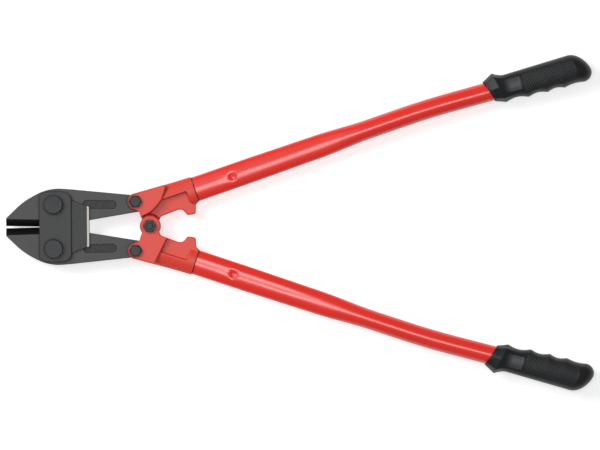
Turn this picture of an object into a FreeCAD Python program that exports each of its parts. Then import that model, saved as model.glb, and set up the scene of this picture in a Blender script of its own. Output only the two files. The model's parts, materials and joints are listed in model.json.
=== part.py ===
import FreeCAD, Part
import math
import os

from FreeCAD import Vector

# Bolt cutters for steel bar, 600 mm class, lying flat.
#
# Two jaws turn on two bolts between a front and a back plate.  Each jaw's tail is pinned
# in the clevis of a forged socket, and the two sockets are hinged on each other at the
# centre bolt, so opening the handles opens the jaws with a large lever ratio.
#
# The frame while modelling: X runs from the jaws to the grips, Y from the lower handle to
# the upper one, Z out of the front plate, with the origin on the centre bolt's axis at
# half thickness.  Every piece is moved at the end, so that the finished part's origin is
# the bottom centre of its box.  All sizes are in millimetres, angles in degrees.

# ---- Linkage at rest -------------------------------------------------------------------
handle_angle = 18.7          # each tube's angle from the tool's centre line
jaw_pivot_reach = 95.8       # from the centre bolt forward to the line of the jaw bolts
jaw_pivot_spread = 43.9      # between the two jaw bolts
tail_pivot_x = -5.3          # the clevis pin in the handle frame: along the tube
tail_pivot_y = 27.8          # and outward from the centre bolt
rest_opening = 1.22          # how far each jaw stands open from its closed position

# ---- Fits ------------------------------------------------------------------------------
side_gap = 0.2               # between flat faces that slide on each other
running_gap = 0.05           # radial, between a hinge pin and its bore
edge_gap = 0.2               # left between the two cutting edges when the jaws are closed
pivot_play = 2.4             # radial, at the centre bolt in the upper socket's knuckle

# ---- Jaws ------------------------------------------------------------------------------
jaw_thickness = 12.0
jaw_tip_reach = 47.3         # from the jaw bolt to the blunt tip
tip_face = 7.9               # height of the blunt face at the tip
brow_rise = 16.6             # from the tip's corner up to the brow, where the back levels out
brow_share = 0.35            # how far back the brow is, as a share of the jaw's reach
crown_height = 16.7          # the jaw's back edge above its bolt
bevel_width = 7.0            # the ground band beside the cutting edge
edge_land = 0.8              # thickness left at the cutting edge
edge_run = 36.3              # length of the cutting edge
heel_relief = 1.2            # how far the heel stands back from the other jaw
tail_outer = 6.0             # the tail's back edge, outside the clevis pin
tail_inner = 9.2             # the tail's inner edge, inside the clevis pin
tail_end = 8.0               # how far the tail runs on past the clevis pin
tail_round = 6.4             # the corners of the tail's end
pocket_length = 34.0
pocket_width = 8.9
pocket_depth = 1.4
pocket_from_bolt = 46.0      # the pocket's middle, behind the jaw bolt
jaw_edge_round = 0.7

# ---- Plates ----------------------------------------------------------------------------
plate_thickness = 4.3
tongue_thickness = 2.9
plate_nose = 14.2            # front edge ahead of the jaw bolts
plate_body_rear = 17.6       # end of the thick body behind the jaw bolts
plate_tongue_rear = 35.3     # end of the thin tongue behind the jaw bolts
plate_margin = 13.3          # the plate's long edge outside the jaw bolt
tongue_half_width = 20.2
tongue_bevel = 2.0           # the ground bevel along the tongue's rear edge
tongue_bevel_drop = 1.2
tongue_step = 5.4            # the body's rear corner outside the tongue
plate_nose_drop = 4.2        # the nose's corner inside the plate's long edge
plate_nose_run = 5.5         # and the length of its curve
plate_edge_round = 0.6

# ---- Fasteners -------------------------------------------------------------------------
jaw_bolt_diameter = 12.0
jaw_bolt_head_diameter = 18.8
jaw_bolt_head_height = 5.0
jaw_nut_flats = 19.0
jaw_nut_height = 5.5
pin_diameter = 7.0           # clevis pins and centre bolt
pin_flats = 11.0
pin_head_height = 4.2
pin_nut_height = 4.6
centre_nut_height = 4.6
centre_head_height = 4.0
washer_diameter = 18.0
washer_thickness = 1.2
thread_end = 0.9             # how far a bolt's end stands out of its nut
jaw_bolt_recess = 0.4        # the jaw bolts end this far inside their nuts
head_chamfer = 0.9
shank_chamfer = 0.7
nut_flat_share = 0.95        # the part of a nut's width that its chamfer leaves flat
nut_slope = 30               # and the slope of the chamfer
head_flat_share = 0.86
head_slope = 38

# ---- Sockets, in the handle frame: x along the tube, y outward ---------------------------
cheek_thickness = 4.3        # each ear of the clevis
clevis_radius = 8.2
slot_clearance = 0.6         # round the jaw's tail inside the clevis
knuckle_radius = 10.4
knuckle_offset = 0.6         # the knuckle stands a little off the centre bolt, to the rear
knuckle_recess = 12.1        # what the other knuckle turns in
web_front = 1.8              # the web's front face above half thickness
web_back = 4.8               # and its back face below it
collar_wall = 0.9            # the collar stands this much proud of the tube
collar_length = 8.5          # the full-width band at the tube's mouth
rib_inner_edge = 21.0        # the thick back of the socket ends here
rib_rise = 1.9               # the back swells this much towards the clevis
rib_start = 4.0              # where the back begins, inside the clevis cheeks
web_reach = 6.0              # the web runs this far into the back, past the tube's axis
horn_depth = 3.7             # the stop horn's reach inward, past the centre bolt's line
socket_edge_round = 1.1
tang_root = 3.0              # overlap of the tang with the collar
tang_length = 52.0

# ---- Tubes -----------------------------------------------------------------------------
tube_diameter = 19.4
tube_wall = 1.6
tube_offset = 19.8           # the tube's axis from the centre bolt
flat_width = 24.9            # across the flattened front end
shoulder_width = 23.6        # where the flattening starts to run out
tube_start = 54.5            # the tube's mouth, along the handle frame
flat_end = 110.0
shoulder_at = 182.0
round_from = 240.0
bend_at = 299.8              # where the tube's two straight lines cross
bend_angle = 3.7
bend_radius = 830.0
tube_tail = 148.0            # length behind the bend
dimple_at = 94.2
dimple_diameter = 7.4
dimple_depth = 1.1

# ---- Grips, in the frame of the tube's rear stretch, measured from the bend --------------
grip_start = 57.2
mouth_slant = 22.8
mouth_radius = 11.2
flange_at = 16.8             # behind the grip's start
flange_slant = 10.7
flange_half_width = 16.2
flange_offset = 1.1          # the flange stands out this much more on the outer side
flange_half_thickness = 15.0
neck_at = 30.5
neck_half_width = 12.4
neck_half_thickness = 12.8
grip_half_width = 14.2       # outer side at the rear
grip_half_thickness = 16.0
finger_first = 43.8          # the first finger ridge, behind the grip's start
finger_pitch = 19.0
finger_ridge = 15.6          # reach of the first ridge from the tube's axis
finger_depth = 2.1
finger_count = 3
grip_length = 112.2


# ---- Helpers -----------------------------------------------------------------------------
def turn(point, angle):
    """A point (x, y) turned about the origin."""
    c, s = math.cos(math.radians(angle)), math.sin(math.radians(angle))
    return (point[0] * c - point[1] * s, point[0] * s + point[1] * c)


def outline(corners):
    """A flat face, normal up, from corners (x, y, radius); a radius of 0 stays sharp."""
    count = len(corners)
    area = 0.0
    for i in range(count):
        area += corners[i - 1][0] * corners[i][1] - corners[i][0] * corners[i - 1][1]
    if area < 0:
        corners = corners[::-1]
    leaving, arriving, arcs = [], [], []
    for i in range(count):
        before = Vector(*corners[i - 1][:2], 0)
        here = Vector(*corners[i][:2], 0)
        after = Vector(*corners[(i + 1) % count][:2], 0)
        radius = corners[i][2]
        a = (before - here).normalize()
        b = (after - here).normalize()
        half = a.getAngle(b) / 2
        if radius <= 0:
            arriving.append(here)
            leaving.append(here)
            arcs.append(None)
            continue
        back = radius / math.tan(half)
        middle = here + (a + b).normalize() * (radius / math.sin(half) - radius)
        arriving.append(here + a * back)
        leaving.append(here + b * back)
        arcs.append(Part.Arc(here + a * back, middle, here + b * back).toShape())
    edges = []
    for i in range(count):
        if arcs[i]:
            edges.append(arcs[i])
        start, end = leaving[i], arriving[(i + 1) % count]
        if start.distanceToPoint(end) > 1e-6:
            edges.append(Part.LineSegment(start, end).toShape())
    return Part.Face(Part.Wire(edges))


def slab(face, low, high):
    """A flat face at z = 0 made into a prism between two heights."""
    prism = face.extrude(Vector(0, 0, high - low))
    prism.translate(Vector(0, 0, low))
    return prism


def disc(centre, radius, low, high):
    return Part.makeCylinder(radius, high - low, Vector(centre[0], centre[1], low))


def hexagon(centre, flats, low, high):
    radius = flats / math.sqrt(3)
    ring = [turn((radius, 0), 60 * i) for i in range(6)]
    face = outline([(centre[0] + x, centre[1] + y, 0) for x, y in ring])
    return slab(face, low, high)


def capped(head, centre, top_radius, slope, low, high, upward):
    """Trims a head's corners with a cone: top_radius is what stays of the flat outer face."""
    drop = high - low
    wide = top_radius + drop / math.tan(math.radians(slope))
    if upward:
        cone = Part.makeCone(wide, top_radius, drop, Vector(centre[0], centre[1], low))
    else:
        cone = Part.makeCone(top_radius, wide, drop, Vector(centre[0], centre[1], low))
    return head.common(cone)


def level_edges(shape, height):
    """The edges of a shape that lie flat at one height."""
    found = []
    for edge in shape.Edges:
        box = edge.BoundBox
        if abs(box.ZMin - height) < 1e-4 and abs(box.ZMax - height) < 1e-4:
            found.append(edge)
    return found


def softened(shape, radius, *heights):
    """Rounds the flat edges of a prism at the given heights."""
    edges = []
    for height in heights:
        edges += level_edges(shape, height)
    return shape.makeFillet(radius, edges)


def chamfered(shape, size, *heights):
    edges = []
    for height in heights:
        edges += level_edges(shape, height)
    return shape.makeChamfer(size, edges)


def flipped(shape):
    """Half a turn about the tool's long axis: upper becomes lower, front becomes back."""
    copy = shape.copy()
    copy.rotate(Vector(0, 0, 0), Vector(1, 0, 0), 180)
    return copy


# ---- Where the pivots are ----------------------------------------------------------------
jaw_pivot = (-jaw_pivot_reach, jaw_pivot_spread / 2)
tail_pivot = turn((tail_pivot_x, tail_pivot_y), handle_angle)
to_tail = (tail_pivot[0] - jaw_pivot[0], tail_pivot[1] - jaw_pivot[1])
tail_in_jaw = turn(to_tail, rest_opening)

# The two ends of the jaw's inner edge, in the jaw's own frame: heel and tail.
heel_corner = (0.05 * to_tail[0], heel_relief - jaw_pivot_spread / 2)
tail_corner = (tail_in_jaw[0] + tail_end, tail_in_jaw[1] - tail_inner)

pack_half = jaw_thickness / 2 + side_gap + plate_thickness
clevis_half = jaw_thickness / 2 + side_gap + cheek_thickness


# ---- Jaws --------------------------------------------------------------------------------
def make_jaw():
    """The upper jaw, drawn closed about its own bolt and then opened to the rest position."""
    edge = (edge_gap - jaw_pivot_spread) / 2
    tip = -jaw_tip_reach
    tail_x, tail_y = tail_in_jaw
    half = jaw_thickness / 2
    face = outline(
        [
            (tip, edge, 0),
            (tip, edge + tip_face, 2.0),
            (tip + brow_share * jaw_tip_reach, edge + tip_face + brow_rise, 70.0),
            (-0.12 * jaw_tip_reach, crown_height + 0.35, 48.0),
            (crown_height, crown_height - 0.9, 60.0),
            (tail_x + tail_end, tail_y + tail_outer - 0.4, tail_round),
            (*tail_corner, tail_round),
            (*heel_corner, 6.0),
            (edge_run - jaw_tip_reach + 1.5, heel_corner[1], 1.0),
            (edge_run - jaw_tip_reach, edge, 0),
        ]
    )
    jaw = softened(slab(face, -half, half), jaw_edge_round, -half, half)
    for side in (1, -1):
        profile = [
            (edge - 1, side * edge_land / 2),
            (edge, side * edge_land / 2),
            (edge + bevel_width, side * half),
            (edge + bevel_width, side * (half + 1)),
            (edge - 1, side * (half + 1)),
        ]
        points = [Vector(tip - 1, y, z) for y, z in profile]
        wedge = Part.Face(Part.makePolygon(points + points[:1]))
        jaw = jaw.cut(wedge.extrude(Vector(edge_run + 1, 0, 0)))
        front = pocket_from_bolt - pocket_length / 2
        rear = pocket_from_bolt + pocket_length / 2
        low_y = pocket_from_bolt * math.tan(math.radians(rest_opening)) - pocket_width / 2
        high_y = low_y + pocket_width
        corner = 0.49 * pocket_width
        pocket = outline(
            [
                (front, low_y, corner),
                (rear, low_y, corner),
                (rear, high_y, corner),
                (front, high_y, corner),
            ]
        )
        low = half - pocket_depth if side > 0 else -half - 1
        high = half + 1 if side > 0 else -half + pocket_depth
        jaw = jaw.cut(slab(pocket, low, high))
    bolt_radius = jaw_bolt_diameter / 2 + running_gap
    pin_radius = pin_diameter / 2 + running_gap
    jaw = jaw.cut(disc((0, 0), bolt_radius, -half - 1, half + 1))
    jaw = jaw.cut(disc(tail_in_jaw, pin_radius, -half - 1, half + 1))
    jaw.rotate(Vector(0, 0, 0), Vector(0, 0, 1), -rest_opening)
    jaw.translate(Vector(*jaw_pivot, 0))
    return jaw


# ---- Plates ------------------------------------------------------------------------------
def make_plate():
    """The front plate; the back plate is the same piece turned over."""
    bolt_y = jaw_pivot[1]
    nose = -plate_nose
    long_edge = bolt_y + plate_margin
    step_x = plate_body_rear
    half_outline = [
        (nose, long_edge - plate_nose_drop, 3.0),
        (nose + plate_nose_run, long_edge - 0.8, 8.0),
        (2.0, long_edge, 40.0),
        (step_x - 1.5, long_edge - 1.6, 8.0),
        (step_x + 0.5, tongue_half_width + tongue_step, 3.0),
        (step_x + 9.0, tongue_half_width + 2.0, 6.0),
        (plate_tongue_rear, tongue_half_width - 0.4, 1.0),
    ]
    mirrored = [(x, -y, r) for x, y, r in reversed(half_outline)]
    face = outline(half_outline + mirrored)
    low = jaw_thickness / 2 + side_gap
    plate = slab(face, low, low + plate_thickness)
    wide = long_edge + 5
    above = Part.makeBox(
        plate_tongue_rear - step_x + 5,
        2 * wide,
        plate_thickness,
        Vector(step_x, -wide, low + tongue_thickness),
    )
    plate = plate.cut(above)
    plate = softened(plate, plate_edge_round, low + plate_thickness)
    rear = plate_tongue_rear
    corner = [
        Vector(rear - tongue_bevel, -wide, low + tongue_thickness),
        Vector(rear + 0.1, -wide, low + tongue_thickness - tongue_bevel_drop),
        Vector(rear + 0.1, -wide, low + tongue_thickness + 1),
        Vector(rear - tongue_bevel, -wide, low + tongue_thickness + 1),
    ]
    bevel = Part.Face(Part.makePolygon(corner + corner[:1]))
    plate = plate.cut(bevel.extrude(Vector(0, 2 * wide, 0)))
    radius = jaw_bolt_diameter / 2 + running_gap
    for side in (1, -1):
        plate = plate.cut(disc((0, side * bolt_y), radius, low - 1, low + plate_thickness + 1))
    plate.translate(Vector(jaw_pivot[0], 0, 0))
    return plate


# ---- Fasteners ---------------------------------------------------------------------------
def make_jaw_bolt(centre):
    """A round-headed bolt from the front; its end is flush inside the nut."""
    end = -pack_half - jaw_nut_height + jaw_bolt_recess
    head = disc(centre, jaw_bolt_head_diameter / 2, pack_half, pack_half + jaw_bolt_head_height)
    head = chamfered(head, head_chamfer, pack_half + jaw_bolt_head_height)
    shank = disc(centre, jaw_bolt_diameter / 2, end, pack_half + 1)
    shank = chamfered(shank, shank_chamfer, end)
    return head.fuse(shank).removeSplitter()


def make_nut(centre, flats, bore, seat, height):
    """A hexagon nut on a seat; a negative height stands it down from the seat."""
    low, high = min(seat, seat + height), max(seat, seat + height)
    nut = hexagon(centre, flats, low, high)
    nut = capped(nut, centre, nut_flat_share * flats / 2, nut_slope, low, high, height > 0)
    return nut.cut(disc(centre, bore / 2, low - 1, high + 1))


def make_hex_bolt(centre, head_seat, head_height, end):
    """A bolt with a chamfered hexagon head; the shank runs from the head to its end."""
    low, high = min(head_seat, head_seat + head_height), max(head_seat, head_seat + head_height)
    head = hexagon(centre, pin_flats, low, high)
    flat_radius = head_flat_share * pin_flats / 2
    head = capped(head, centre, flat_radius, head_slope, low, high, head_height > 0)
    inside = head_seat + head_height / 2
    shank = disc(centre, pin_diameter / 2, min(inside, end), max(inside, end))
    shank = chamfered(shank, shank_chamfer, end)
    return head.fuse(shank).removeSplitter()


# ---- Sockets -----------------------------------------------------------------------------
def oval(x, half_width, half_thickness):
    """An ellipse across the tube's axis at x in the handle frame."""
    if half_width - half_thickness < 1e-6:
        shape = Part.Circle(Vector(0, 0, 0), Vector(0, 0, 1), half_width).toShape()
    else:
        shape = Part.Ellipse(Vector(0, 0, 0), half_width, half_thickness).toShape()
    wire = Part.Wire([shape])
    wire.rotate(Vector(0, 0, 0), Vector(0, 0, 1), 90)
    wire.rotate(Vector(0, 0, 0), Vector(0, 1, 0), 90)
    wire.translate(Vector(x, tube_offset, 0))
    return wire


def girth(a, b):
    """The girth of an ellipse, by Ramanujan's first formula."""
    return math.pi * (3 * (a + b) - math.sqrt((3 * a + b) * (a + 3 * b)))


def squashed(half_width):
    """Half the thickness of a round tube pressed to a width: its girth stays the same."""
    target = math.pi * tube_diameter
    low, high = 0.5, tube_diameter / 2
    if half_width <= high + 1e-6:
        return half_width
    while high - low > 1e-6:
        middle = (low + high) / 2
        if girth(half_width, middle) < target:
            low = middle
        else:
            high = middle
    return low


tube_half_flat = flat_width / 2
tube_half_thin = squashed(tube_half_flat)
collar_outer = tube_offset + tube_half_flat + collar_wall
knuckle_centre = turn((knuckle_offset, 0), -handle_angle)


def socket_plan():
    """The forging's outline without its knuckle, seen from the front, in the handle frame."""
    jx, jy = tail_pivot_x, tail_pivot_y
    c = clevis_radius
    inner_mouth = tube_offset - tube_half_flat
    lobe = c * math.sqrt(0.5)
    body = outline(
        [
            (jx, jy + c, 0),
            (tube_start, collar_outer - 0.3, 0.6),
            (tube_start, inner_mouth, 0),
            (tube_start - 4.0, inner_mouth - 2.4, 3.0),
            (tube_start - 7.2, -horn_depth, 2.2),
            (tube_start - 15.2, -horn_depth + 1.5, 2.0),
            (tube_start - 18.6, 6.2, 6.0),
            (13.6, 5.4, 3.0),
            (10.8, 2.4, 0),
            (4.0, -2.0, 0),
            (-4.0, 2.0, 0),
            (jx + 0.1, 8.6, 1.5),
            (jx + 0.1, jy - 10.5, 2.5),
            (jx - lobe, jy - lobe, 0),
        ]
    )
    ring = Part.Circle(Vector(jx, jy, 0), Vector(0, 0, 1), c).toShape()
    round_end = Part.Face(Part.Wire([ring]))
    return body.fuse(round_end).removeSplitter().Faces[0]


def make_socket(centre_bore):
    """The upper handle's forging: clevis, knuckle, web with its stop horn, collar and tang."""
    plan = socket_plan()
    jx, jy = tail_pivot_x, tail_pivot_y
    far = 2 * tube_start         # safely outside the forging
    front_area = outline(
        [
            (-far, 10.4, 0),
            (-5.6, 10.8, 0),
            (6.0, 12.9, 6.0),
            (14.3, 17.1, 8.0),
            (20.1, rib_inner_edge, 6.0),
            (28.0, rib_inner_edge + 10.3, 4.0),
            (30.0, far, 0),
            (-far, far, 0),
        ]
    )
    back_area = outline([(-far, -far, 0), (37.0, -far, 0), (5.7, far, 0), (-far, far, 0)])
    front = slab(plan.common(front_area).Faces[0], 0, clevis_half)
    front = softened(front, socket_edge_round, clevis_half)
    back = slab(plan.common(back_area).Faces[0], -clevis_half, 0)
    back = softened(back, socket_edge_round, -clevis_half)
    web_end = tube_offset + web_reach
    web_area = outline([(-far, -far, 0), (far, -far, 0), (far, web_end, 0), (-far, web_end, 0)])
    web = slab(plan.common(web_area).Faces[0], -web_back, web_front)
    web = softened(web, socket_edge_round, -web_back, web_front)

    half_width = collar_outer - tube_offset
    half_thin = tube_half_thin + collar_wall
    spine = Part.makeLoft(
        [
            oval(rib_start, half_width + rib_rise, half_thin + rib_rise / 2),
            oval(tube_start, half_width, half_thin),
        ],
        True,
        True,
    )
    collar_start = tube_start - collar_length
    inner_side = tube_offset - half_width
    rib_area = outline(
        [
            (rib_start, rib_inner_edge, 0),
            (collar_start, rib_inner_edge, 1.5),
            (collar_start, inner_side + 3.5, 3.0),
            (collar_start + 4.0, inner_side - 1, 0),
            (tube_start + 1, inner_side - 1, 0),
            (tube_start + 1, far, 0),
            (rib_start, far, 0),
        ]
    )
    spine = spine.common(slab(rib_area, -clevis_half, clevis_half))

    tang_size = (tube_half_flat - tube_wall, tube_half_thin - tube_wall)
    root = oval(tube_start - tang_root, *tang_size)
    end = oval(tube_start + tang_length, *tang_size)
    tang = Part.makeLoft([root, end], True, True)
    socket = front.fuse([back, web, spine, tang])
    tall = clevis_half + 1
    socket = socket.cut(disc((0, 0), knuckle_recess, -side_gap / 2, tall))
    knuckle = disc(knuckle_centre, knuckle_radius, -clevis_half, -side_gap / 2)
    socket = socket.fuse(softened(knuckle, socket_edge_round, -clevis_half))
    slot_half = jaw_thickness / 2 + side_gap
    inner_run = Vector(*tail_corner, 0) - Vector(*heel_corner, 0)
    to_pin = Vector(*tail_in_jaw, 0) - Vector(*heel_corner, 0)
    edge_reach = inner_run.normalize().cross(to_pin).Length
    corner_reach = math.hypot(tail_end - tail_round, tail_inner - tail_round) + tail_round
    slot_radius = max(edge_reach, corner_reach) + slot_clearance
    socket = socket.cut(disc((jx, jy), slot_radius, -slot_half, slot_half))
    socket = socket.cut(disc((jx, jy), pin_diameter / 2, -tall, tall))
    socket = socket.cut(disc((0, 0), centre_bore / 2, -tall, tall))
    return socket.removeSplitter()


# ---- Tubes -------------------------------------------------------------------------------
def tube_half_width(x):
    """The tube's half width along its length: flat, a slow waist, then out to round."""
    round_half = tube_diameter / 2
    shoulder_half = shoulder_width / 2
    if x <= flat_end:
        return tube_half_flat
    if x <= shoulder_at:
        share = (x - flat_end) / (shoulder_at - flat_end)
        return tube_half_flat + share * (shoulder_half - tube_half_flat)
    share = min(1.0, (x - shoulder_at) / (round_from - shoulder_at))
    smooth = share * share * (3 - 2 * share)
    return shoulder_half + smooth * (round_half - shoulder_half)


def tube_solid(inset):
    """The tube's outside when inset is 0, or its bore when inset is the wall."""
    steps = 10
    runout = [shoulder_at + (round_from - shoulder_at) * i / steps for i in range(steps + 1)]
    overrun = 1.0 if inset else 0.0
    stations = [tube_start - overrun, flat_end] + runout
    sections = []
    for x in stations:
        half = tube_half_width(x)
        sections.append(oval(x, half - inset, squashed(half) - inset))
    flat = Part.makeLoft(sections, True, True)

    radius = tube_diameter / 2 - inset
    run = bend_radius * math.tan(math.radians(bend_angle / 2))
    along = turn((1, 0), -bend_angle)
    start = Vector(round_from, tube_offset, 0)
    first = Vector(bend_at - run, tube_offset, 0)
    last = Vector(bend_at + run * along[0], tube_offset + run * along[1], 0)
    reach = tube_tail + overrun
    end = Vector(bend_at + reach * along[0], tube_offset + reach * along[1], 0)
    gap = bend_radius / math.cos(math.radians(bend_angle / 2)) - bend_radius
    inward = turn((0, -1), -bend_angle / 2)
    middle = Vector(bend_at + gap * inward[0], tube_offset + gap * inward[1], 0)
    path = Part.Wire(
        [
            Part.LineSegment(start, first).toShape(),
            Part.Arc(first, middle, last).toShape(),
            Part.LineSegment(last, end).toShape(),
        ]
    )
    ring = Part.Wire([Part.Circle(start, Vector(1, 0, 0), radius).toShape()])
    rear = path.makePipeShell([ring], True, True)
    return flat.fuse(rear)


def make_tube():
    tube = tube_solid(0).cut(tube_solid(tube_wall))
    ball_radius = (dimple_diameter**2 / 4 + dimple_depth**2) / (2 * dimple_depth)
    lift = tube_half_thin - dimple_depth + ball_radius
    for side in (1, -1):
        tube = tube.cut(Part.makeSphere(ball_radius, Vector(dimple_at, tube_offset, side * lift)))
    return tube


# ---- Grips -------------------------------------------------------------------------------
def grip_section(x, outer, inner, half_thickness, slant=0.0):
    """One section of the grip: an ellipse from the outer side to the finger side."""
    half = (outer + inner) / 2
    wire = oval(0, max(half, half_thickness), min(half, half_thickness))
    wire.translate(Vector(0, -tube_offset, 0))
    if half < half_thickness:
        wire.rotate(Vector(0, 0, 0), Vector(1, 0, 0), 90)
    wire.rotate(Vector(0, 0, 0), Vector(0, 0, 1), slant)
    wire.translate(Vector(x, (outer - inner) / 2, 0))
    return wire


def make_grip():
    """A moulded sleeve with a flared flange, finger grooves inside and a closed bulbous end."""
    mouth_x = grip_start + mouth_radius * math.tan(math.radians(mouth_slant)) * 0.95
    peak = grip_start + flange_at
    mouth_half = mouth_radius / math.cos(math.radians(mouth_slant))
    flange_outer = flange_half_width + flange_offset
    flange_inner = flange_half_width - flange_offset
    throat = grip_start + neck_at - 5.5
    sections = [
        grip_section(mouth_x, mouth_half, mouth_half, mouth_radius, mouth_slant),
        grip_section(peak, flange_outer, flange_inner, flange_half_thickness, flange_slant),
        grip_section(throat, neck_half_width + 0.4, neck_half_width + 0.9, neck_half_thickness + 0.4),
        grip_section(grip_start + neck_at, neck_half_width, neck_half_width, neck_half_thickness),
    ]
    last_groove = finger_first + (finger_count - 0.5) * finger_pitch
    for i in range(2 * finger_count):
        x = finger_first + i * finger_pitch / 2
        share = (x - neck_at) / (last_groove - neck_at)
        outer = neck_half_width + (grip_half_width - neck_half_width) * share**0.7
        inner = finger_ridge + 0.3 * (i // 2)
        if i % 2:
            inner -= finger_depth - 0.2 * (i // 2)
        swell = grip_half_thickness - neck_half_thickness
        thick = neck_half_thickness + swell * min(1.0, share * 1.12) ** 0.7
        sections.append(grip_section(grip_start + x, outer, inner, thick))
    tail = grip_length - last_groove
    # The closed end: share of the run, outer side, finger side, thickness.
    closing = [(0.42, 0.90, 15.4, 0.91), (0.75, 0.48, 15.0, 0.69), (0.93, 0.10, 12.9, 0.42)]
    for share, outer, inner, thick in closing:
        x = grip_start + last_groove + tail * share
        outer *= grip_half_width
        sections.append(grip_section(x, outer, inner, grip_half_thickness * thick))
    end_x = grip_start + grip_length
    sections.append(grip_section(end_x, -0.18 * grip_half_width, 8.5, grip_half_thickness * 0.18))
    grip = Part.makeLoft(sections, True, True)
    bore = Part.makeCylinder(tube_diameter / 2, tube_tail, Vector(0, 0, 0), Vector(1, 0, 0))
    grip = grip.cut(bore)
    grip.rotate(Vector(0, 0, 0), Vector(0, 0, 1), -bend_angle)
    grip.translate(Vector(bend_at, tube_offset, 0))
    return grip


# ---- Assembly ----------------------------------------------------------------------------
def at_handle(shape):
    """Turns a piece from the handle frame to the upper handle's place at rest."""
    placed = shape.copy()
    placed.rotate(Vector(0, 0, 0), Vector(0, 0, 1), handle_angle)
    return placed


nodes = {}
jaw = make_jaw()
nodes["jaw_upper"] = jaw
nodes["jaw_lower"] = flipped(jaw)

plate = make_plate()
nodes["front_plate"] = plate
nodes["back_plate"] = flipped(plate)

socket_bore = pin_diameter + 2 * pivot_play
nodes["socket_upper"] = at_handle(make_socket(socket_bore))
nodes["socket_lower"] = flipped(at_handle(make_socket(pin_diameter)))

tube = at_handle(make_tube())
nodes["tube_upper"] = tube
nodes["tube_lower"] = flipped(tube)

grip = at_handle(make_grip())
nodes["grip_upper"] = grip
nodes["grip_lower"] = flipped(grip)

for name, side in (("upper", 1), ("lower", -1)):
    bolt_centre = (jaw_pivot[0], side * jaw_pivot[1])
    pin_centre = (tail_pivot[0], side * tail_pivot[1])
    pin_end = -clevis_half - pin_nut_height - thread_end / 2
    nodes[f"jaw_bolt_{name}"] = make_jaw_bolt(bolt_centre)
    nodes[f"jaw_nut_{name}"] = make_nut(
        bolt_centre, jaw_nut_flats, jaw_bolt_diameter, -pack_half, -jaw_nut_height
    )
    nodes[f"tail_bolt_{name}"] = make_hex_bolt(pin_centre, clevis_half, pin_head_height, pin_end)
    nodes[f"tail_nut_{name}"] = make_nut(
        pin_centre, pin_flats, pin_diameter, -clevis_half, -pin_nut_height
    )

washer_top = -clevis_half - side_gap
washer_bottom = washer_top - washer_thickness
washer = disc((0, 0), washer_diameter / 2, washer_bottom, washer_top)
nodes["centre_washer"] = washer.cut(
    disc((0, 0), pin_diameter / 2, washer_bottom - 1, washer_top + 1)
)
bolt_end = clevis_half + centre_nut_height + thread_end
nodes["centre_bolt"] = make_hex_bolt((0, 0), washer_bottom, -centre_head_height, bolt_end)
nodes["centre_nut"] = make_nut((0, 0), pin_flats, pin_diameter, clevis_half, centre_nut_height)

# The finished frame: the origin is the bottom centre of the whole tool's box at rest.
box = Part.makeCompound(list(nodes.values())).optimalBoundingBox(False, False)
origin = Vector((box.XMin + box.XMax) / 2, 0, box.ZMin)

os.makedirs("parts", exist_ok=True)
for name, shape in nodes.items():
    shape.translate(origin * -1)
    shape.exportStep(f"parts/{name}.step")
    solids, valid = len(shape.Solids), shape.isValid()
    print(f"{name:18s} solids {solids}  valid {valid}  volume {shape.Volume / 1000:8.2f} cm3")
print("centre bolt at", [round(v, 3) for v in (-origin.x, 0.0, -origin.z)])
print("jaw bolts at x", round(jaw_pivot[0] - origin.x, 3), "y +-", round(jaw_pivot[1], 3))
print("clevis pins at x", round(tail_pivot[0] - origin.x, 3), "y +-", round(tail_pivot[1], 3))
print("whole size", [round(v, 1) for v in (box.XLength, box.YLength, box.ZLength)])
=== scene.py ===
# %% [markdown]
# # Bolt cutters, lying flat
#
# A pair of 600 mm bolt cutters: two dark forged jaws between bolted plates, two red
# forged sockets hinged on each other, red painted tubes and moulded rubber grips.
# The design gives every piece's place.  Here the pieces that show the most are made
# again as finer meshes, and every surface gets a finish made from shader nodes.

# %% Start
import json
import math

import bmesh
import bpy
from mathutils import Matrix, Vector


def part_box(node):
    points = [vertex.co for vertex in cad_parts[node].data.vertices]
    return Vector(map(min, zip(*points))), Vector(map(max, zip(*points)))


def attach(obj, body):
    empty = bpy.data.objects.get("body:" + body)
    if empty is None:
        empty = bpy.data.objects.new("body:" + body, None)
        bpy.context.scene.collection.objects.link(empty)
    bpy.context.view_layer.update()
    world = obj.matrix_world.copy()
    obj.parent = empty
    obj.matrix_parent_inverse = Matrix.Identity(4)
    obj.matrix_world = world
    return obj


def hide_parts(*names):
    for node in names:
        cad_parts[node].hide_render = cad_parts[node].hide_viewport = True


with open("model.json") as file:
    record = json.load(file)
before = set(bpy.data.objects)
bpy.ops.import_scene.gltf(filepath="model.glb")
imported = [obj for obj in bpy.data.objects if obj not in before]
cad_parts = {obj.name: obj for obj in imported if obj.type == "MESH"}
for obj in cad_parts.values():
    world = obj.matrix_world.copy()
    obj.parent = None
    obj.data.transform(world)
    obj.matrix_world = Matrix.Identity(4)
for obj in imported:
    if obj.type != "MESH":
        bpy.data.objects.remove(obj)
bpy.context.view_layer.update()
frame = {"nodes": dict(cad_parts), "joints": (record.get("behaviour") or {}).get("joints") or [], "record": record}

# %% [markdown]
# ## Places
#
# Lengths below are in millimetres, because that is how a toolmaker thinks, and `mm`
# turns them into Blender's metres.  The pivots are read from the design instead of
# typed again, so nothing can drift: the jaw bolts from the joints, and the centre
# bolt from its own box.  The handle frame starts at the centre bolt, at half
# thickness: X runs along the tube, Y outward, and the lower handle is the upper one
# turned over about the tool's long axis.

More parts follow.
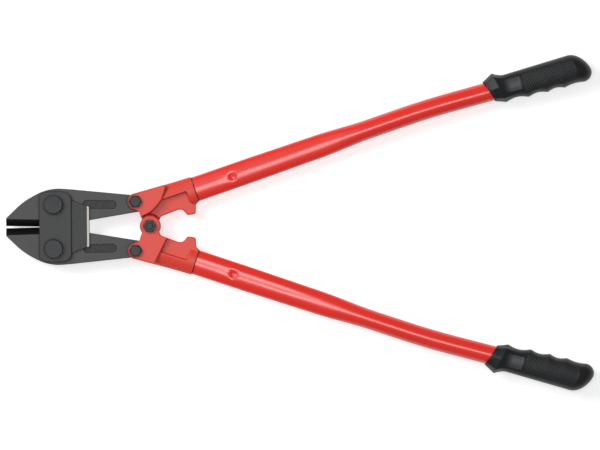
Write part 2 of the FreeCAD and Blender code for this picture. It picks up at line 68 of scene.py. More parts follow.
# %% Frames of reference
mm = 0.001
pivots = {joint["name"]: Vector(joint["pos_m"]) for joint in frame["joints"]}
jaw_line = pivots["upper_jaw_pivot"].x
mid_height = pivots["upper_jaw_pivot"].z
bolt_low, bolt_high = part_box("centre_bolt")
centre = Vector(((bolt_low[0] + bolt_high[0]) / 2, (bolt_low[1] + bolt_high[1]) / 2, mid_height))

handle_angle = math.radians(18.7)
tube_offset = 19.8
bend_at = 299.8
bend_angle = math.radians(3.7)

turned_over = {"upper": Matrix(), "lower": Matrix.Rotation(math.pi, 4, "X")}
handle_frame = {}
grip_frame = {}
for side, over in turned_over.items():
    along = Matrix.Translation(centre) @ over @ Matrix.Rotation(handle_angle, 4, "Z")
    handle_frame[side] = along @ Matrix.Scale(mm, 4)
    bend = Matrix.Translation((bend_at, tube_offset, 0)) @ Matrix.Rotation(-bend_angle, 4, "Z")
    grip_frame[side] = handle_frame[side] @ bend
print("centre bolt at", [round(v / mm, 2) for v in centre], "mm")

# %% [markdown]
# ## From a bmesh to a finished piece
#
# Every piece made here is shaped in its own frame, in millimetres, and is then moved
# into place in the mesh itself, so its object stays at the origin.  That matters for
# the finishes: they read Object coordinates, which would slide or turn if the object
# carried a transform.

# %% Helper that finishes a piece
def finished(name, shape, place, body, slot, *stands_for):
    """Moves a bmesh into place, makes it an object and hides the design parts it stands for."""
    shape.transform(place)
    bmesh.ops.remove_doubles(shape, verts=shape.verts, dist=0.001 * mm)
    bmesh.ops.recalc_face_normals(shape, faces=shape.faces)
    mesh = bpy.data.meshes.new(name)
    shape.to_mesh(mesh)
    shape.free()
    mesh.shade_smooth()
    piece = bpy.data.objects.new(name, mesh)
    bpy.context.scene.collection.objects.link(piece)
    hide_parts(*stands_for)
    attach(piece, body)
    print(f"{name}: {len(mesh.vertices)} points, {len(mesh.polygons)} faces")
    return piece


def eased(share):
    """0 to 1 with a soft start and end."""
    share = min(1.0, max(0.0, share))
    return share * share * (3 - 2 * share)


# %% [markdown]
# ## The tubes
#
# Each handle is a round steel tube.  Its front end is pressed flat to slip over the
# forging's tang, and a punch mark on each face pins it there; from there it widens out
# to round, and near the rear it bends a few degrees inward.  A cylinder cut into many
# rings is the simplest start: every ring can then be squeezed and moved by one rule.

# %% Rings pulled along X
def ring_round_x(shape, sides, radius, start):
    """A ring of edges round the X axis."""
    ring = bmesh.ops.create_circle(shape, segments=sides, radius=radius)["verts"]
    bmesh.ops.rotate(shape, verts=ring, matrix=Matrix.Rotation(math.pi / 2, 3, "Y"))
    bmesh.ops.translate(shape, verts=ring, vec=(start, 0, 0))
    return shape.edges[:]


def pulled(shape, edges, step):
    """Pulls a ring along X by one step; gives the new ring's edges and points."""
    made = bmesh.ops.extrude_edge_only(shape, edges=edges)["geom"]
    edges = [part for part in made if isinstance(part, bmesh.types.BMEdge)]
    points = [part for part in made if isinstance(part, bmesh.types.BMVert)]
    bmesh.ops.translate(shape, verts=points, vec=(step, 0, 0))
    return edges, points


# %% Tube shape
tube_radius = 9.7
tube_wall = 1.6
tube_mouth = 54.5
tube_tail = 148.0
bend_radius = 830.0
flat_half_width = 12.45
flat_half_height = 6.45
flat_boxiness = 2.25
flat_until = 110.0
shoulder_half_width = 11.8
shoulder_at = 182.0
round_from = 240.0


def tube_half_width(x):
    """Half the tube's width: flat, then a slow waist, then out to round."""
    if x < shoulder_at:
        waist = max(0.0, x - flat_until) / (shoulder_at - flat_until)
        return flat_half_width + waist * (shoulder_half_width - flat_half_width)
    out = eased((x - shoulder_at) / (round_from - shoulder_at))
    return shoulder_half_width + out * (tube_radius - shoulder_half_width)


def flatness(x):
    """1 where the tube is pressed flat, 0 where it's round."""
    return (tube_half_width(x) - tube_radius) / (flat_half_width - tube_radius)


def tube_half_height(x):
    """Half the tube's thickness: as it narrows it fills out again."""
    return tube_radius + flatness(x) * (flat_half_height - tube_radius)


# %% Marks of the press
punch_at = 94.2
punch_radius = 3.3
punch_depth = 1.25
crease_depth = 0.25
crease_width = 2.2
crease_length = 20.0
valleys = {1.0: (3.6, 1.8, 0.14), -1.0: (-2.0, 2.2, 0.3)}  # face: middle, width, depth
valley_from, valley_rise = tube_mouth - 14.0, 20.0
valley_to, valley_fall = shoulder_at + 20.0, 60.0
marks_fade = 3.0  # nearer than this to the tube's mid-height they fade out


def bell(off, width):
    """1 in the middle, falling away smoothly over about a width."""
    return math.exp(-((off / width) ** 2))


def pressed(x, y, z):
    """How deep the press marked a flat face: the punch mark, a crease and a valley."""
    face = math.copysign(1.0, z)
    middle, width, depth = valleys[face]
    marks = punch_depth * bell(math.hypot(x - punch_at, y), punch_radius)
    marks += depth * bell(y - middle, width) * (
        eased((x - valley_from) / valley_rise) * eased((valley_to - x) / valley_fall)
    )
    if x < punch_at:
        growing = eased((x - punch_at + crease_length) / crease_length)
        marks += crease_depth * bell(y, crease_width) * growing
    return marks * face * eased(abs(z) / marks_fade)


def tube_point(x, turn):
    """A point on the tube's skin, before the bend, at an angle round its axis."""
    power = 2 / (2 + flatness(x) * (flat_boxiness - 2))
    c, s = math.cos(turn), math.sin(turn)
    y = tube_half_width(x) * math.copysign(abs(c) ** power, c)
    z = tube_half_height(x) * math.copysign(abs(s) ** power, s)
    return y, z - pressed(x, y, z)


def bent(x, y, z):
    """Lays a straight tube's point along the gentle bend."""
    run = bend_radius * math.tan(bend_angle / 2)
    past = x - (bend_at - run)
    if past <= 0:
        return Vector((x, tube_offset + y, z))
    turn = min(past / bend_radius, bend_angle)
    left = past - turn * bend_radius
    hub = Vector((bend_at - run, tube_offset - bend_radius, 0))
    radial = Vector((math.sin(turn), math.cos(turn), 0))
    along = Vector((math.cos(turn), -math.sin(turn), 0))
    return hub + radial * (bend_radius + y) + along * left + Vector((0, 0, z))


# %% Tube mesh
tube_sides = 72
tube_step = 2.5
fine_tube_step = 0.6
fine_round_punch = 9.0
fine_at_mouth = 3.0
# A painted shadow line round the tube's mouth, where it runs into the socket's collar: its width and its fade.
shade_line_width, shade_line_fade = 0.6, 0.8
least_step = 0.01


def make_tube():
    """A ring pulled along the tube in short steps, then given its shape and its wall."""
    tube = bmesh.new()
    mouth = tube.verts.layers.float.new("mouth")
    edges = ring_round_x(tube, tube_sides, tube_radius, tube_mouth)
    reached = tube_mouth
    rear = bend_at + tube_tail
    while reached < rear - least_step:
        fine = abs(reached - punch_at) < fine_round_punch or reached < tube_mouth + fine_at_mouth
        step = min(fine_tube_step if fine else tube_step, rear - reached)
        edges, _ = pulled(tube, edges, step)
        reached += step
    for point in tube.verts:
        turn = math.atan2(point.co.z, point.co.y)
        # The mouth attribute marks where the painted shadow line goes.
        point[mouth] = 1 - eased((point.co.x - tube_mouth - shade_line_width) / shade_line_fade)
        point.co = bent(point.co.x, *tube_point(point.co.x, turn))
    bmesh.ops.recalc_face_normals(tube, faces=tube.faces)
    bmesh.ops.solidify(tube, geom=tube.faces[:], thickness=tube_wall)
    return tube


# %% Tubes
tubes = []
for side, place in handle_frame.items():
    tube = make_tube()
    tube = finished(f"tube_{side}_skin", tube, place, f"{side}_handle", "red_tube", f"tube_{side}")
    tubes.append(tube)

# %% [markdown]
# ## The grips
#
# The grips are moulded rubber sleeves.  Three things make them: a flange with flat
# facets that stops the hand, scallops for the fingers with a crest between them, and
# a field of small diamonds on each broad face.  Modelling each facet and diamond by
# hand would be slow, so the sleeve starts as a closed ring pulled along in fine steps.
# Two side lines, one along the palm and one under the fingers, say where each ring
# goes; the facets and diamonds are then small pushes along its skin.

# %% Grip side lines
mouth_back, mouth_fingers = 61.0, 68.5
flange_back, flange_fingers = 72.0, 79.0
flange_reach_back, flange_reach_fingers = 17.2, 14.9
mouth_reach = 10.9
neck_at, neck_reach = 84.0, 12.5
palm_reach = 14.2
closing_from = 149.5
grip_end = 169.3
end_point = -6.0
flange_flare = 1.8
back_roundness = 1.45
crests = [  # where each crest is, how far it reaches, and the scallop behind it
    (flange_fingers, flange_reach_fingers, 2.7),
    (102.0, 15.6, 2.15),
    (121.5, 16.0, 2.05),
    (139.0, 16.2, 1.3),
    (159.5, 15.7, 0.0),
]


def back_line(s):
    """How far the sleeve reaches outward, along the palm."""
    if s < flange_back:
        share = (s - mouth_back) / (flange_back - mouth_back)
        return mouth_reach + share * (flange_reach_back - mouth_reach)
    if s < neck_at:
        share = (s - flange_back) / (neck_at - flange_back)
        return neck_reach + (flange_reach_back - neck_reach) * (1 - share) ** flange_flare
    if s < closing_from:
        return neck_reach + (palm_reach - neck_reach) * (s - neck_at) / (closing_from - neck_at)
    share = min(1.0, (s - closing_from) / (grip_end - closing_from))
    return end_point + (palm_reach - end_point) * (1 - share**2) ** (1 / back_roundness)


def finger_line(s):
    """How far it reaches inward under the fingers, and how deep the scallop is there."""
    first, first_reach, _ = crests[0]
    last, last_reach, _ = crests[-1]
    if s < first:
        share = max(0.0, (s - mouth_fingers) / (first - mouth_fingers))
        return mouth_reach + share * (first_reach - mouth_reach), 0.0
    if s >= last:
        share = min(1.0, (s - last) / (grip_end - last))
        return -end_point + (last_reach + end_point) * math.sqrt(1 - share**2), 0.0
    before, after = next(pair for pair in zip(crests, crests[1:]) if s < pair[1][0])
    share = (s - before[0]) / (after[0] - before[0])
    return before[1] + share * (after[1] - before[1]), before[2] * math.sin(math.pi * share)


# %% Grip thickness
mouth_half_height = 11.0
flange_half_height = 15.2
neck_half_height = 12.8
palm_half_height = 16.0
rising_from, flange_middle, neck_from = 64.7, 75.5, 87.0
swelling_from, swelling_to = 82.0, 144.0
rounding_from, end_roundness = 150.0, 2.4
lead = 3.65
lead_fades_from, lead_fades_over = 76.0, 24.0


def half_height(s):
    """Half the sleeve's thickness."""
    if s < flange_middle:
        share = max(0.0, s - rising_from) / (flange_middle - rising_from)
        return mouth_half_height + share * (flange_half_height - mouth_half_height)
    if s < neck_from:
        share = (s - flange_middle) / (neck_from - flange_middle)
        return neck_half_height + (flange_half_height - neck_half_height) * (1 - share) ** flange_flare
    if s < rounding_from:
        share = eased((s - swelling_from) / (swelling_to - swelling_from))
        return neck_half_height + share * (palm_half_height - neck_half_height)
    share = min(1.0, (s - rounding_from) / (grip_end - rounding_from))
    return palm_half_height * math.sqrt(1 - share**end_roundness)


def slant(s):
    """Half the lead of the finger side over the palm's: the mouth and flange lean."""
    return lead * (1 - eased((s - lead_fades_from) / lead_fades_over))


# %% Grip skin
facets = 8
facet_strength = 0.8
facet_shrink = 0.02
facets_from, facets_rise = 64.0, 6.0
facets_fade_from, facets_fade = 76.0, 11.0
grip_boxiness = 2.25
underside_focus = 2.5
scallop_thinning = 0.03


def facet_pull(turn, strength):
    """Pulls a round ring towards an octagon."""
    sector = 2 * math.pi / facets
    off = (turn % sector) - sector / 2
    return 1 - strength * (1 - math.cos(sector / 2) / math.cos(off)) - facet_shrink * strength


def skin_point(s, turn):
    """A point on the sleeve, with the finger scallops and the flange's facets."""
    lean = slant(s)
    back = back_line(s - lean)
    reach, scallop = finger_line(s + lean)
    c, n = math.cos(turn), math.sin(turn)
    scallop *= ((1 - c) / 2) ** underside_focus
    facet = facet_strength * eased((s - facets_from) / facets_rise)
    pull = facet_pull(turn, facet * (1 - eased((s - facets_fade_from) / facets_fade)))
    power = 2 / grip_boxiness
    y = (back - reach) / 2 + pull * (back + reach) / 2 * math.copysign(abs(c) ** power, c)
    z = pull * half_height(s) * math.copysign(abs(n) ** power, n)
    return Vector((s - lean * c, y + scallop, z * (1 - scallop_thinning * scallop)))


# %% Grip relief
diamond_pitch = 3.1
diamond_height = 0.6
diamond_steepness, diamond_top = 1.5, 0.66
diamonds_from, diamonds_to, diamonds_fade = 99.0, 153.5, 0.7
field_half_width, field_widening, field_middle = 9.0, 1.6, -0.8
widening_from, widening_over = 100.0, 40.0
panel_from, panel_to = 79.0, 97.5
panel_rise, soft_edge = 9.0, 0.8
panel_half_width, panel_middle, panel_depth = 6.8, 0.6, 0.28
groove_at, groove_width, groove_depth = 158.0, 0.9, 0.22
crown_from = 0.1


def zigzag(v):
    """Up from 0 to 1 and down again in every unit of v."""
    return 1 - abs(2 * (v % 1.0) - 1)


def skin_relief(s, y):
    """The moulded pattern on the two broad faces: its height, the panel and the crowns."""
    half_width = field_half_width + field_widening * eased((s - widening_from) / widening_over)
    field = eased((half_width - abs(y - field_middle)) / soft_edge)
    field *= eased((s - diamonds_from) / diamonds_fade) * eased((diamonds_to - s) / diamonds_fade)
    ways = zigzag((s + y) / diamond_pitch), zigzag((s - y) / diamond_pitch)
    diamond = diamond_steepness * min(*ways, diamond_top)
    panel = eased((panel_half_width - abs(y - panel_middle)) / soft_edge)
    panel *= eased((s - panel_from) / panel_rise) * eased((panel_to - s) / soft_edge)
    groove = groove_depth * bell(s - groove_at, groove_width)
    height = field * diamond_height * (diamond - 1.0) - panel_depth * panel - groove
    return height, panel, field * eased(diamond - crown_from)


# %% Grip mesh
grip_sides = 220
grip_step, fine_grip_step, last_grip_step = 0.8, 0.42, 0.05
closing_share = 0.3
least_grip_step = 0.02
bore_clearance = 0.02
relief_focus = 1.5


def add_bore(grip, lip):
    """Turns the lip in to the tube and lines the sleeve as far as the tube goes."""
    edges, points = pulled(grip, lip, 0)
    for point in points:
        inward = (tube_radius + bore_clearance) / math.hypot(point.co.y, point.co.z)
        point.co.y *= inward
        point.co.z *= inward
    edges, points = pulled(grip, edges, 0)
    for point in points:
        point.co.x = tube_tail
    bmesh.ops.holes_fill(grip, edges=edges, sides=0)


def make_grip():
    """Rings in fine steps, shaped by the side lines, with the relief pushed along z."""
    grip = bmesh.new()
    panel_layer = grip.verts.layers.float.new("panel")
    crown_layer = grip.verts.layers.float.new("crown")
    reached = (mouth_back + mouth_fingers) / 2
    lip = ring_round_x(grip, grip_sides, 1.0, reached)
    edges = lip
    while reached < grip_end - least_grip_step:
        patterned = diamonds_from - 1 < reached < diamonds_to + 1
        step = fine_grip_step if patterned else grip_step
        step = min(step, max(last_grip_step, (grip_end - reached) * closing_share))
        edges, _ = pulled(grip, edges, step)
        reached += step
    for point in grip.verts:
        s, turn = point.co.x, math.atan2(point.co.z, point.co.y)
        skin = skin_point(s, turn)
        height, panel, crown = skin_relief(skin.x, skin.y)
        facing = abs(math.sin(turn)) ** relief_focus
        skin.z += height * facing * math.copysign(1.0, math.sin(turn))
        point.co = skin
        point[panel_layer] = panel * facing
        point[crown_layer] = crown * facing
    bmesh.ops.holes_fill(grip, edges=edges, sides=0)
    add_bore(grip, lip)
    return grip


# %% Grips
grips = []
for side, place in grip_frame.items():
    grip = make_grip()
    grip = finished(
        f"grip_{side}_moulding", grip, place, f"{side}_handle", "grip_rubber", f"grip_{side}"
    )
    grips.append(grip)

# %% [markdown]
# ## The forged sockets
#
# A drop forging has no sharp corners: steel flows into the die and leaves every edge
# and every hollow rounded.  Bevelling dozens of edges would be one way.  Remeshing a
# copy of the design's socket into small even faces and then relaxing them is quicker,
# and it rounds the inside corners too, which is just what the die does.

# %% Sockets
forge_grain = 0.42
forge_passes, forge_softness = 5, 0.5
same_point = 0.002
sockets = []
for side in turned_over:
    design = frame["nodes"][f"socket_{side}"]
    forging = bmesh.new()
    forging.from_mesh(design.data)
    forging.transform(design.matrix_world)
    bmesh.ops.remove_doubles(forging, verts=forging.verts, dist=same_point * mm)
    piece = finished(
        f"socket_{side}_forging", forging, Matrix(), f"{side}_handle", "red_forging", f"socket_{side}"
    )
    remesh = piece.modifiers.new("even faces", "REMESH")
    remesh.mode = "VOXEL"
    remesh.voxel_size = forge_grain * mm
    remesh.use_smooth_shade = True
    relax = piece.modifiers.new("die rounding", "SMOOTH")
    relax.factor = forge_softness
    relax.iterations = forge_passes
    sockets.append(piece)
print("sockets:", [piece.name for piece in sockets])

# %% [markdown]
# ## Shader arithmetic
#
# A finish is a sum of small patterns, and wiring each Math node by hand hides that
# sum.  So one class wraps a node's output and gives it Python's operators, and a
# second one owns the material and adds any other node from its type, its settings
# and its inputs.

# %% Node outputs that add up
class Wave:
    """One output of a coat's nodes, which can be used like a number."""

    def __init__(self, coat, socket):
        self.coat = coat
        self.socket = socket

    def _math(self, operation, first, second=0.0, clamp=False):
        settings = {"operation": operation, "use_clamp": clamp}
        return self.coat.add("ShaderNodeMath", settings, {0: first, 1: second})

    def __add__(self, other):
        return self._math("ADD", self, other)

    __radd__ = __add__

    def __sub__(self, other):
        return self._math("SUBTRACT", self, other)

    def __rsub__(self, other):
        return self._math("SUBTRACT", other, self)

    def __mul__(self, other):
        return self._math("MULTIPLY", self, other)

    __rmul__ = __mul__

    def __truediv__(self, other):
        return self._math("DIVIDE", self, other)

    def __pow__(self, other):
        return self._math("POWER", self, other)

    def __abs__(self):
        return self._math("ABSOLUTE", self)

    def larger(self, other):
        return self._math("MAXIMUM", self, other)

    def clamped(self):
        return self._math("ADD", self, 0.0, clamp=True)

    def rise(self, low, high):
        """0 below low, 1 above high, and straight between them."""
        return ((self - low) / (high - low)).clamped()


# %% Coats that hold them
class Coat:
    """A material with its Principled shader and a short way to add nodes."""

    def __init__(self, name, fixed):
        self.material = bpy.data.materials.new(name)
        self.material.use_nodes = True
        self.tree = self.material.node_tree
        self.shader = self.tree.nodes["Principled BSDF"]
        for socket, value in fixed.items():
            self.shader.inputs[socket].default_value = value

    def feed(self, socket, value):
        """Links a wave to an input, or sets a plain value on it."""
        if isinstance(value, Wave):
            self.tree.links.new(value.socket, socket)
        else:
            socket.default_value = value

    def add(self, kind, settings=None, inputs=None, output=0):
        """A node of any kind, and one of its outputs to go on with."""
        node = self.tree.nodes.new(kind)
        for name, value in (settings or {}).items():
            setattr(node, name, value)
        for name, value in (inputs or {}).items():
            self.feed(node.inputs[name], value)
        return Wave(self, node.outputs[output])

    def set(self, socket, value):
        """Feeds one of the shader's own inputs."""
        self.feed(self.shader.inputs[socket], value)

    def place(self, stretch=(1, 1, 1)):
        """Object coordinates, stretched for a pattern with a direction."""
        spot = self.add("ShaderNodeTexCoord", output=3)
        if stretch == (1, 1, 1):
            return spot
        return self.add("ShaderNodeMapping", None, {"Vector": spot, "Scale": stretch})

    def axis(self, name):
        """The X, Y or Z place in millimetres."""
        spot = self.add("ShaderNodeTexCoord", output=3)
        return self.add("ShaderNodeSeparateXYZ", None, {0: spot}, "XYZ".index(name)) / mm

    def painted(self, name):
        """A number that the mesh carries at each of its points."""
        return self.add("ShaderNodeAttribute", {"attribute_name": name}, None, 2)

    def noise(self, size, detail=3.0, stretch=(1, 1, 1)):
        """Cloudy noise from 0 to 1 whose features are about size millimetres across."""
        inputs = {"Vector": self.place(stretch), "Scale": 1 / (size * mm), "Detail": detail}
        return self.add("ShaderNodeTexNoise", None, inputs)

    def blend(self, share, first, second):
        """One colour giving way to another."""
        settings = {"data_type": "RGBA"}
        return self.add("ShaderNodeMix", settings, {0: share, 6: first, 7: second}, 2)

    def relief(self, height, depth):
        """A bump whose full height is depth millimetres."""
        inputs = {"Strength": 1.0, "Distance": depth * mm, "Height": height}
        return self.add("ShaderNodeBump", None, inputs)

    def hollows(self, reach, low, high):
        """1 deep in corners that light hardly enters, within reach millimetres."""
        inputs = {"Distance": reach * mm}
        open_sky = self.add("ShaderNodeAmbientOcclusion", {"samples": 8}, inputs, 1)
        return 1 - open_sky.rise(low, high)

    def edge_wear_and_highlight(self, radius):
        """1 along outer edges, where a rounded normal leaves the true one."""
        rounded = self.add("ShaderNodeBevel", {"samples": 4}, {"Radius": radius * mm})
        true = self.add("ShaderNodeNewGeometry", output=1)
        settings = {"operation": "DOT_PRODUCT"}
        dot = self.add("ShaderNodeVectorMath", settings, {0: rounded, 1: true}, 1)
        return (1 - dot).rise(0.03, 0.3)


def grey(value, tint=0.0):
    """A neutral colour, a little blue with a positive tint."""
    return (value * (1 - tint), value, value * (1 + tint), 1.0)


def distance(across, along):
    """How far it is from an upright line, from the two steps to it."""
    return (across * across + along * along) ** 0.5


# %% [markdown]
# ## Blackened steel
#
# Jaws, plates and bolts are heat-treated steel with a dark phosphate or oxide skin.
# It's nearly matt, a little mottled, and rubbed to bare metal only along a few edges.
# One function makes the skin and each piece adds its own marks to it.

# %% Blackened steel
oxide_metallic = 0.25
# Painted shade: the near-black given to corners where light hardly enters.
shade_black, corner_share = grey(0.002), 0.95
middle = mid_height / mm


def blackened(name, dark, light, tint, rough):
    """Mottled dark steel: its coat, and its colour, roughness and grain so far."""
    coat = Coat(name, {"Metallic": oxide_metallic, "Specular IOR Level": 0.4})
    cloud = coat.noise(14.0, 4.0)
    grain = coat.noise(0.5, 2.0)
    mottling = (cloud * 0.6 + grain * 0.4).rise(0.3, 0.7)
    colour = coat.blend(mottling, grey(dark, tint), grey(light, tint))
    roughness = rough + 0.16 * (grain - 0.5) + 0.1 * (cloud - 0.5)
    return coat, colour, roughness, grain


def worn_and_shaded(coat, colour, wear, bare_steel, corner_shade):
    """Rubs the outer edges down to bare steel and paints shade into the corners."""
    colour = coat.blend(wear, colour, bare_steel)
    return coat.blend(corner_shade * corner_share, colour, shade_black)


# %% Jaws: the skin, the stamped pockets and the ground bevels at the cutting edges
jaw_half_thickness = 6.0
bevel_reach = 8.5
edge_end = 11.0
pocket_from, pocket_floor = 1.2, 1.35

jaw_coat, colour, roughness, grain = blackened("blackened jaw steel", 0.034, 0.054, 0.0, 0.48)
depth = jaw_half_thickness - abs(jaw_coat.axis("Z") - middle)
near_edge = 1 - abs(jaw_coat.axis("Y")).rise(bevel_reach - 0.1, bevel_reach)
bevel_end = jaw_line / mm - edge_end
ahead = 1 - jaw_coat.axis("X").rise(bevel_end, bevel_end + 0.1)
ground = depth.rise(0.03, 0.09) * near_edge * ahead
grinding = jaw_coat.noise(0.35, 1.0, (0.02, 1, 1))
sunk = depth.rise(pocket_from, pocket_floor) * (1 - near_edge)
cast = jaw_coat.noise(1.6, 4.0).rise(0.35, 0.65)
colour = jaw_coat.blend(sunk * (0.45 + 0.4 * cast), colour, grey(0.008))
# The ground bevels are painted near black: partly their own blackened finish, partly painted shade, as they lie in
# shadow.
colour = jaw_coat.blend(ground, colour, grey(0.0015))
wear = jaw_coat.edge_wear_and_highlight(0.45) * 0.3 * (1 - ground)
# Painted shade in the jaw's corners and hollows, where light hardly enters; real wear on the edges.
colour = worn_and_shaded(jaw_coat, colour, wear, grey(0.2), jaw_coat.hollows(2.4, 0.5, 0.97))
bumps = grain * (1 - ground) + cast * sunk * 4 + grinding * ground * 0.3
jaw_coat.set("Base Color", colour)
jaw_coat.set("Roughness", roughness * (1 - ground) + (0.22 + 0.1 * grinding) * ground)
jaw_coat.set("Normal", jaw_coat.relief(bumps, 0.03))

# %% Plates: a smooth body, a cast tongue and a bare ground edge at its rear
_, plate_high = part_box("front_plate")
plate_rear = plate_high[0] / mm
tongue_length = 17.7
bare_width = 2.1
dark_line_from, dark_line_to = 0.75, 0.6
plate_inside, plate_outside = 7.0, 7.5

plate_coat, colour, roughness, grain = blackened("blackened plate steel", 0.018, 0.031, 0.02, 0.45)
along = plate_coat.axis("X")
tongue = along.rise(plate_rear - tongue_length, plate_rear - tongue_length + 0.6)
pits = plate_coat.noise(1.3, 4.0)
outer = abs(plate_coat.axis("Z") - middle).rise(plate_inside, plate_outside)
bare_from = plate_rear - bare_width
bare = along.rise(bare_from, bare_from + 0.15) * outer
dark_line = along.rise(bare_from - dark_line_from, bare_from - dark_line_to) * outer
scratches = plate_coat.noise(0.4, 2.0, (1, 0.03, 1))
wear = plate_coat.edge_wear_and_highlight(0.4) * 0.25
# Painted shade in the plate's corners, where light hardly enters; real wear on the edges.
colour = worn_and_shaded(plate_coat, colour, wear, grey(0.22), plate_coat.hollows(3.2, 0.5, 1.0))
# A near-black line just ahead of the bare edge.
colour = plate_coat.blend(dark_line * 0.85, colour, grey(0.004))
# The bare ground edge is painted pale cream: partly real bare steel, partly a painted highlight.
bright = plate_coat.blend(scratches, (0.62, 0.59, 0.53, 1), (0.93, 0.90, 0.83, 1))
bumps = grain * 0.3 + pits * tongue * (1 - bare) * 3.0
plate_coat.set("Base Color", plate_coat.blend(bare, colour, bright))
plate_coat.set("Metallic", oxide_metallic - 0.1 * bare)
plate_coat.set("Roughness", roughness * (1 - bare) + (0.3 + 0.2 * scratches) * bare)
plate_coat.set("Normal", plate_coat.relief(bumps, 0.06))

# %% Fasteners: bluish oxide, rubbed on the corners a spanner touches
bolt_coat, colour, roughness, grain = blackened("oxide fastener steel", 0.016, 0.034, 0.06, 0.42)
wear = bolt_coat.edge_wear_and_highlight(0.5) * 0.35
# Painted shade in the fasteners' corners, where light hardly enters; real wear on the corners.
colour = worn_and_shaded(bolt_coat, colour, wear, grey(0.22, 0.05), bolt_coat.hollows(2.5, 0.45, 0.9))
bolt_coat.set("Base Color", colour)
bolt_coat.set("Metallic", 0.5 + 0.2 * grain)
bolt_coat.set("Roughness", roughness)
bolt_coat.set("Normal", bolt_coat.relief(grain, 0.04))

# %% [markdown]
# ## Red paint
#
# The same red is on two surfaces.  On the drawn tubes it lies smooth and glossy, with
# the faint ripple that painters call orange peel.  On the forgings it follows the
# rough scale underneath, so it looks a little lighter and duller; its corners get
# a painted shade, and its outer edges a painted highlight.

# %% Red paint on the tubes
tube_coat = Coat("red gloss paint", {"Coat Weight": 0.25, "Coat Roughness": 0.2})
peel = tube_coat.noise(3.0, 1.0)
drift = tube_coat.noise(60.0, 2.0)
red = tube_coat.blend(drift, (0.68, 0.016, 0.008, 1), (0.76, 0.024, 0.012, 1))
# Painted shadow line at the tube's mouth, where it runs into the socket.
red = tube_coat.blend(tube_coat.painted("mouth") * 0.9, red, (0.05, 0.002, 0.002, 1))
tube_coat.set("Base Color", red)
tube_coat.set("Roughness", 0.26 + 0.06 * drift)
tube_coat.set("Normal", tube_coat.relief(peel, 0.008))

# %% Red paint on the forgings
forge_coat = Coat("red forging paint", {"Specular IOR Level": 0.35})
scale_marks = forge_coat.noise(1.1, 5.0)
fine = forge_coat.noise(0.35, 2.0)
red = forge_coat.blend(scale_marks, (0.58, 0.034, 0.018, 1), (0.68, 0.053, 0.032, 1))
# Painted highlight: the forging's outer edges are painted a lighter pink.
red = forge_coat.blend(forge_coat.edge_wear_and_highlight(0.6) * 0.25, red, (0.85, 0.16, 0.12, 1))
# Painted shade: the forging's corners and creases are painted dark red where light hardly enters.
crease_shade = forge_coat.hollows(2.4, 0.45, 0.95)
red = forge_coat.blend(crease_shade * 0.95, red, (0.36, 0.007, 0.005, 1))

# %% Painted shade round the pins, and grease round the centre bolt
pin_low, pin_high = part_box("tail_bolt_upper")
ahead = forge_coat.axis("X") - (pin_low[0] + pin_high[0]) / 2 / mm
beside = abs(forge_coat.axis("Y")) - (pin_low[1] + pin_high[1]) / 2 / mm
# Painted shade beside the pins, mottled by the scale.
pin_shade = 1 - distance(ahead, beside).rise(7.0, 10.0)
pin_shade = pin_shade * (1 - ahead.rise(-5.0, 4.0)) * (0.5 + 0.5 * scale_marks)
ahead = forge_coat.axis("X") - centre.x / mm
beside = forge_coat.axis("Y") - centre.y / mm
grease = (1 - distance(ahead, beside).rise(6.0, 9.0)) * (0.3 + 0.4 * scale_marks)
# The painted shade round the pins and the real grease round the centre bolt share one dark colour.
red = forge_coat.blend(pin_shade.larger(grease), red, (0.05, 0.012, 0.012, 1))
forge_coat.set("Base Color", red)
forge_coat.set("Roughness", 0.38 + 0.2 * (fine - 0.5))
forge_coat.set("Normal", forge_coat.relief(scale_marks * 0.7 + fine * 0.3, 0.16))

# %% [markdown]
# ## Rubber
#
# Moulded rubber is almost black, but never evenly so: it's dull where the mould was
# blasted, the tops of the diamonds are painted paler as a highlight, and the polished
# panel behind the flange is painted paler as a soft sheen.  The grip's own `crown` and
# `panel` attributes say where those are.

# %% Rubber
rubber_coat = Coat("moulded rubber", {"Specular IOR Level": 0.3})
dust = rubber_coat.noise(9.0, 4.0)
pores = rubber_coat.noise(0.3, 2.0)
panel = rubber_coat.painted("panel")
black = rubber_coat.blend(dust, (0.004, 0.0043, 0.0048, 1), (0.009, 0.0095, 0.0105, 1))
# Painted highlight on the crowns of the diamonds.
black = rubber_coat.blend(rubber_coat.painted("crown"), black, (0.022, 0.0235, 0.025, 1))
# Painted sheen on the polished panel.
black = rubber_coat.blend(panel, black, (0.045, 0.047, 0.05, 1))
rubber_coat.set("Base Color", black)
rubber_coat.set("Roughness", 0.40 + 0.12 * dust - 0.04 * panel)
rubber_coat.set("Normal", rubber_coat.relief(pores, 0.03))

# %% Which coat goes where
coats = {
    "jaw_steel": jaw_coat,
    "blackened_plate": plate_coat,
    "fastener_steel": bolt_coat,
    "red_forging": forge_coat,
    "red_tube": tube_coat,
    "grip_rubber": rubber_coat,
}
slot_of = {part["node"]: part["material_slot"] for part in frame["record"]["subparts"]}
for name, node in frame["nodes"].items():
    for place in node.material_slots:
        place.material = coats[slot_of[name]].material
for pieces, coat in ((tubes, tube_coat), (grips, rubber_coat), (sockets, forge_coat)):
    for piece in pieces:
        piece.data.materials.append(coat.material)
print("finishes:", ", ".join(coat.material.name for coat in coats.values()))

# %% [markdown]
# ## Floor, light and camera
#
# The tool lies on a plain white table that glows a little, so that it stays white
# between the shadows.  A wide lamp straight above draws the thin highlight down each
# tube.  A stronger one beyond the jaws, on the upper side, is the key light: it gives
# the forgings their shape and throws the soft shadow to the lower right.  The pale
# sky fills the rest.  The camera looks straight down through a long lens.

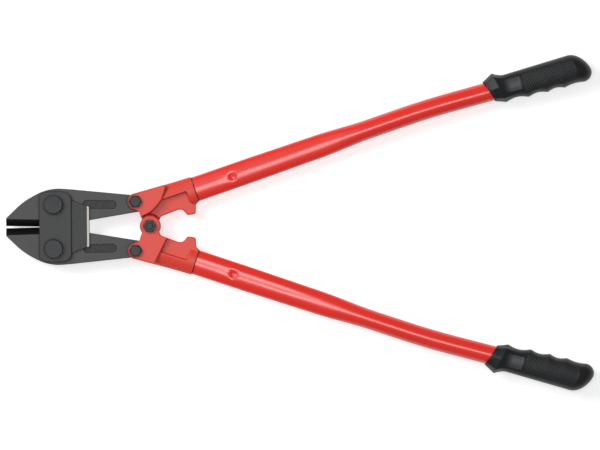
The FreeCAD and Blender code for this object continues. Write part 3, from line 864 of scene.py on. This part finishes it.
# %% Floor
table_half_width = 4000 * mm
table_gap = 0.05 * mm  # a hair below the tool, so that no two flat faces coincide
floor_shape = bmesh.new()
bmesh.ops.create_grid(floor_shape, x_segments=1, y_segments=1, size=table_half_width)
bmesh.ops.translate(floor_shape, verts=floor_shape.verts, vec=(0, 0, -table_gap))
floor_mesh = bpy.data.meshes.new("table")
floor_shape.to_mesh(floor_mesh)
floor_shape.free()
table = bpy.data.objects.new("table", floor_mesh)
bpy.context.scene.collection.objects.link(table)
table_glow = {"Roughness": 0.9, "Emission Color": (1, 1, 1, 1), "Emission Strength": 0.58}
table_coat = Coat("white table", table_glow)
table_coat.set("Base Color", table_coat.blend(table_coat.noise(300.0), grey(0.55), grey(0.58)))
table.data.materials.append(table_coat.material)


# %% Lights
def lamp(name, place, size, power):
    """A rectangular lamp, in metres and watts, that is aimed at the tool's middle."""
    light = bpy.data.lights.new(name, "AREA")
    light.shape = "RECTANGLE"
    light.size, light.size_y = size
    light.energy = power
    holder = bpy.data.objects.new(name, light)
    holder.location = place
    aim = Vector((0, 0, 0)) - Vector(place)
    holder.rotation_mode = "QUATERNION"
    holder.rotation_quaternion = aim.to_track_quat("-Z", "Y")
    bpy.context.scene.collection.objects.link(holder)


lamp("overhead", (0.0, 0.0, 2.6), (0.9, 0.65), 19)
lamp("key from the upper left", (-1.3, 0.8, 1.6), (1.1, 1.1), 34)

world = bpy.data.worlds.new("pale room")
world.use_nodes = True
sky = world.node_tree.nodes["Background"]
sky.inputs["Color"].default_value = (0.96, 0.98, 1.0, 1)
sky.inputs["Strength"].default_value = 0.30
bpy.context.scene.world = world
bpy.context.scene.view_settings.view_transform = "Standard"

# %% Camera
view_width = 600 * mm
camera_height = 6.0
sensor_width = 36.0
tool_roll = math.radians(0.45)
aim_right, aim_up = 150.2 * mm, -0.1 * mm

camera_data = bpy.data.cameras.new("camera")
camera_data.sensor_width = sensor_width
camera_data.lens = sensor_width * camera_height / view_width
camera = bpy.data.objects.new("camera", camera_data)
camera.location = (centre.x + aim_right, centre.y + aim_up, mid_height + camera_height)
camera.rotation_euler = (0, 0, -tool_roll)
bpy.context.scene.collection.objects.link(camera)
bpy.context.scene.camera = camera
print(f"camera: {camera_data.lens:.0f} mm lens, {camera_height} m above the tool")
